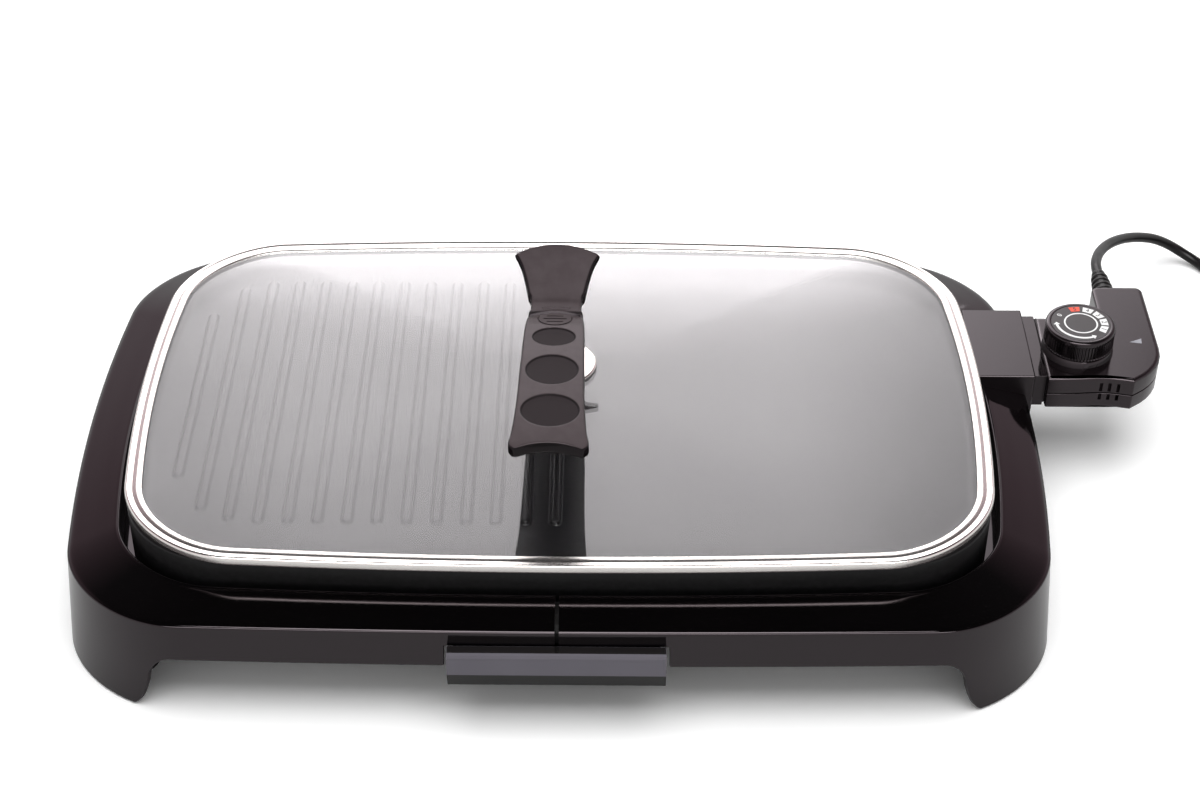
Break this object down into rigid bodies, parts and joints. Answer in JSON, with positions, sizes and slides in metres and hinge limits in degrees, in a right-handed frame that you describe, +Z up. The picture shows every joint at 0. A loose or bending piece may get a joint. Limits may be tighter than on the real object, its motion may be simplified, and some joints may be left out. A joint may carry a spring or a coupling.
{
  "type": "electric table grill with lid",
  "caption": "Low rectangular electric grill: part-ribbed cooking plate in a footed ring base, lift-off domed glass lid, slide-out drip tray and plug-in temperature controller on a cord.",
  "frame": {"origin": "centre of the underside of the grill and its controller, on the table, leaving out the cord, its coil and its plug", "axes": "X runs along the length towards the controller, Y runs from the tray handle to the back, Z is up"},
  "size_m": [0.8478, 0.4915, 0.1617],
  "materials": {
    "gloss_black": "polished black moulding",
    "inner_black": "plain black moulding",
    "pad_rubber": "soft moulded",
    "plate_coating": "die cast with a dark non-stick coating",
    "reflector_sheet": "bright rolled sheet",
    "element_sheath": "oxidised sheath",
    "zinc_steel": "zinc plated",
    "ceramic": "fired ceramic",
    "pin_steel": "plated",
    "contact_brass": "sprung brass",
    "lid_glass": "clear tempered glass",
    "rim_steel": "polished stainless steel",
    "silicone": "translucent silicone",
    "handle_plastic": "satin moulding",
    "controller_plastic": "fine satin moulding",
    "knob_plastic": "ribbed moulding with a flat dial",
    "pointer_grey": "grey mark",
    "cord_pvc": "smooth flexible sheath"
  },
  "bodies": {
    "base": {"base_left": "gloss_black", "base_right": "gloss_black", "seam_strips": "inner_black", "strip_screws": "zinc_steel", "foot_pads": "pad_rubber", "heat_reflector": "reflector_sheet", "tray_rails": "inner_black", "cooking_plate": "plate_coating", "heating_element": "element_sheath", "element_clips": "zinc_steel", "terminal_block": "ceramic", "terminal_pins": "pin_steel", "probe_sleeve": "plate_coating", "socket_block": "inner_black"},
    "tray": {"drip_tray": "inner_black", "tray_handle": "gloss_black", "tray_screws": "zinc_steel"},
    "lid": {"lid_glass": "lid_glass", "lid_rim": "rim_steel", "handle_disc": "rim_steel", "glass_washers": "silicone", "clamp_washer": "zinc_steel", "handle_screw": "zinc_steel", "handle_post": "handle_plastic", "lid_handle": "handle_plastic", "handle_cap": "handle_plastic"},
    "controller": {"controller_top": "controller_plastic", "controller_bottom": "controller_plastic", "controller_collar": "inner_black", "controller_screws": "zinc_steel", "contact_sockets": "contact_brass", "probe_rod": "pin_steel", "thermostat": "ceramic", "knob_seat": "inner_black", "pointer_mark": "pointer_grey", "strain_relief": "cord_pvc", "power_cord": "cord_pvc", "cord_coil": "cord_pvc", "coil_tie": "cord_pvc", "plug_lead": "cord_pvc", "plug_relief": "cord_pvc", "plug_body": "cord_pvc", "plug_pins": "pin_steel"},
    "knob": {"knob": "knob_plastic", "knob_shaft": "zinc_steel", "dial_plate": "knob_plastic"}
  },
  "joints": [
    {"name": "tray_slide", "type": "slide", "parent": "base", "child": "tray", "axis": [0, -1, 0], "range_m": [0, 0.2]},
    {"name": "lid_lift", "type": "slide", "parent": "base", "child": "lid", "axis": [0, 0, 1], "range_m": [0, 0.12]},
    {"name": "controller_pull", "type": "slide", "parent": "base", "child": "controller", "axis": [1, 0, 0], "range_m": [0, 0.09]},
    {"name": "knob_turn", "type": "hinge", "parent": "controller", "child": "knob", "pos_m": [0.28197, 0.07042, 0.09], "axis": [0, 0, 1], "range_deg": [-171, 30]}
  ]
}
